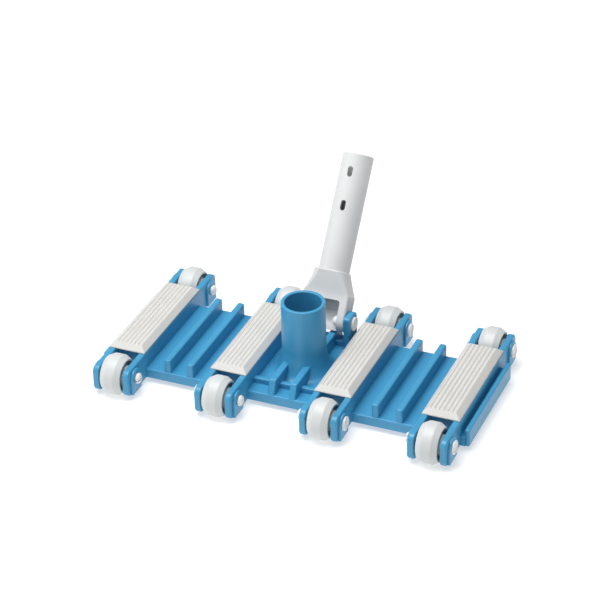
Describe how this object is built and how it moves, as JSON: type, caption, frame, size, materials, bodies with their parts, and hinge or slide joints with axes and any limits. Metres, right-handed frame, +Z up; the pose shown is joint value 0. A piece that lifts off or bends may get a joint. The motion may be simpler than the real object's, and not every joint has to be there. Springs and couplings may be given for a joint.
{
  "type": "pool vacuum head",
  "caption": "Flexible wheeled pool vacuum head with weighted ribbed covers, an upright hose port and a tilting pole handle.",
  "frame": {"origin": "on the floor, midway between the front and rear wheels and midway across the head", "axes": "+X across the head, +Y towards the rear where the handle leans, +Z up along the hose port"},
  "size_m": [0.3446, 0.2396, 0.1659],
  "materials": {
    "blue_vinyl": "soft satin, moulded",
    "ivory_plastic": "fine satin",
    "wheel_grey": "satin",
    "white_nylon": "satin",
    "handle_grey": "satin",
    "cast_weight": "rough cast"
  },
  "bodies": {
    "base": {"base_box_1": "blue_vinyl", "base_box_2": "blue_vinyl", "base_box_3": "blue_vinyl", "base_box_4": "blue_vinyl", "base_web_left": "blue_vinyl", "base_web_middle": "blue_vinyl", "base_web_right": "blue_vinyl", "base_end_left": "blue_vinyl", "base_end_right": "blue_vinyl", "hose_port": "blue_vinyl", "weight_cover_1": "ivory_plastic", "weight_1": "cast_weight", "axle_front_1": "white_nylon", "axle_rear_1": "white_nylon", "weight_cover_2": "ivory_plastic", "weight_2": "cast_weight", "axle_front_2": "white_nylon", "axle_rear_2": "white_nylon", "weight_cover_3": "ivory_plastic", "weight_3": "cast_weight", "axle_front_3": "white_nylon", "axle_rear_3": "white_nylon", "weight_cover_4": "ivory_plastic", "weight_4": "cast_weight", "axle_front_4": "white_nylon", "axle_rear_4": "white_nylon", "handle_pin_left": "white_nylon", "handle_pin_right": "white_nylon"},
    "wheel_front_1": {"wheel_front_1": "wheel_grey"},
    "wheel_rear_1": {"wheel_rear_1": "wheel_grey"},
    "wheel_front_2": {"wheel_front_2": "wheel_grey"},
    "wheel_rear_2": {"wheel_rear_2": "wheel_grey"},
    "wheel_front_3": {"wheel_front_3": "wheel_grey"},
    "wheel_rear_3": {"wheel_rear_3": "wheel_grey"},
    "wheel_front_4": {"wheel_front_4": "wheel_grey"},
    "wheel_rear_4": {"wheel_rear_4": "wheel_grey"},
    "handle": {"handle": "handle_grey"}
  },
  "joints": [
    {"name": "wheel_front_1_spin", "type": "hinge", "parent": "base", "child": "wheel_front_1", "pos_m": [-0.147, -0.079, 0.0182], "axis": [1, 0, 0], "continuous": true},
    {"name": "wheel_rear_1_spin", "type": "hinge", "parent": "base", "child": "wheel_rear_1", "pos_m": [-0.147, 0.079, 0.0182], "axis": [1, 0, 0], "continuous": true},
    {"name": "wheel_front_2_spin", "type": "hinge", "parent": "base", "child": "wheel_front_2", "pos_m": [-0.049, -0.079, 0.0182], "axis": [1, 0, 0], "continuous": true},
    {"name": "wheel_rear_2_spin", "type": "hinge", "parent": "base", "child": "wheel_rear_2", "pos_m": [-0.049, 0.079, 0.0182], "axis": [1, 0, 0], "continuous": true},
    {"name": "wheel_front_3_spin", "type": "hinge", "parent": "base", "child": "wheel_front_3", "pos_m": [0.049, -0.079, 0.0182], "axis": [1, 0, 0], "continuous": true},
    {"name": "wheel_rear_3_spin", "type": "hinge", "parent": "base", "child": "wheel_rear_3", "pos_m": [0.049, 0.079, 0.0182], "axis": [1, 0, 0], "continuous": true},
    {"name": "wheel_front_4_spin", "type": "hinge", "parent": "base", "child": "wheel_front_4", "pos_m": [0.147, -0.079, 0.0182], "axis": [1, 0, 0], "continuous": true},
    {"name": "wheel_rear_4_spin", "type": "hinge", "parent": "base", "child": "wheel_rear_4", "pos_m": [0.147, 0.079, 0.0182], "axis": [1, 0, 0], "continuous": true},
    {"name": "handle_tilt", "type": "hinge", "parent": "base", "child": "handle", "pos_m": [0, 0.0433, 0.0368], "axis": [-1, 0, 0], "range_deg": [-40, 44]}
  ]
}
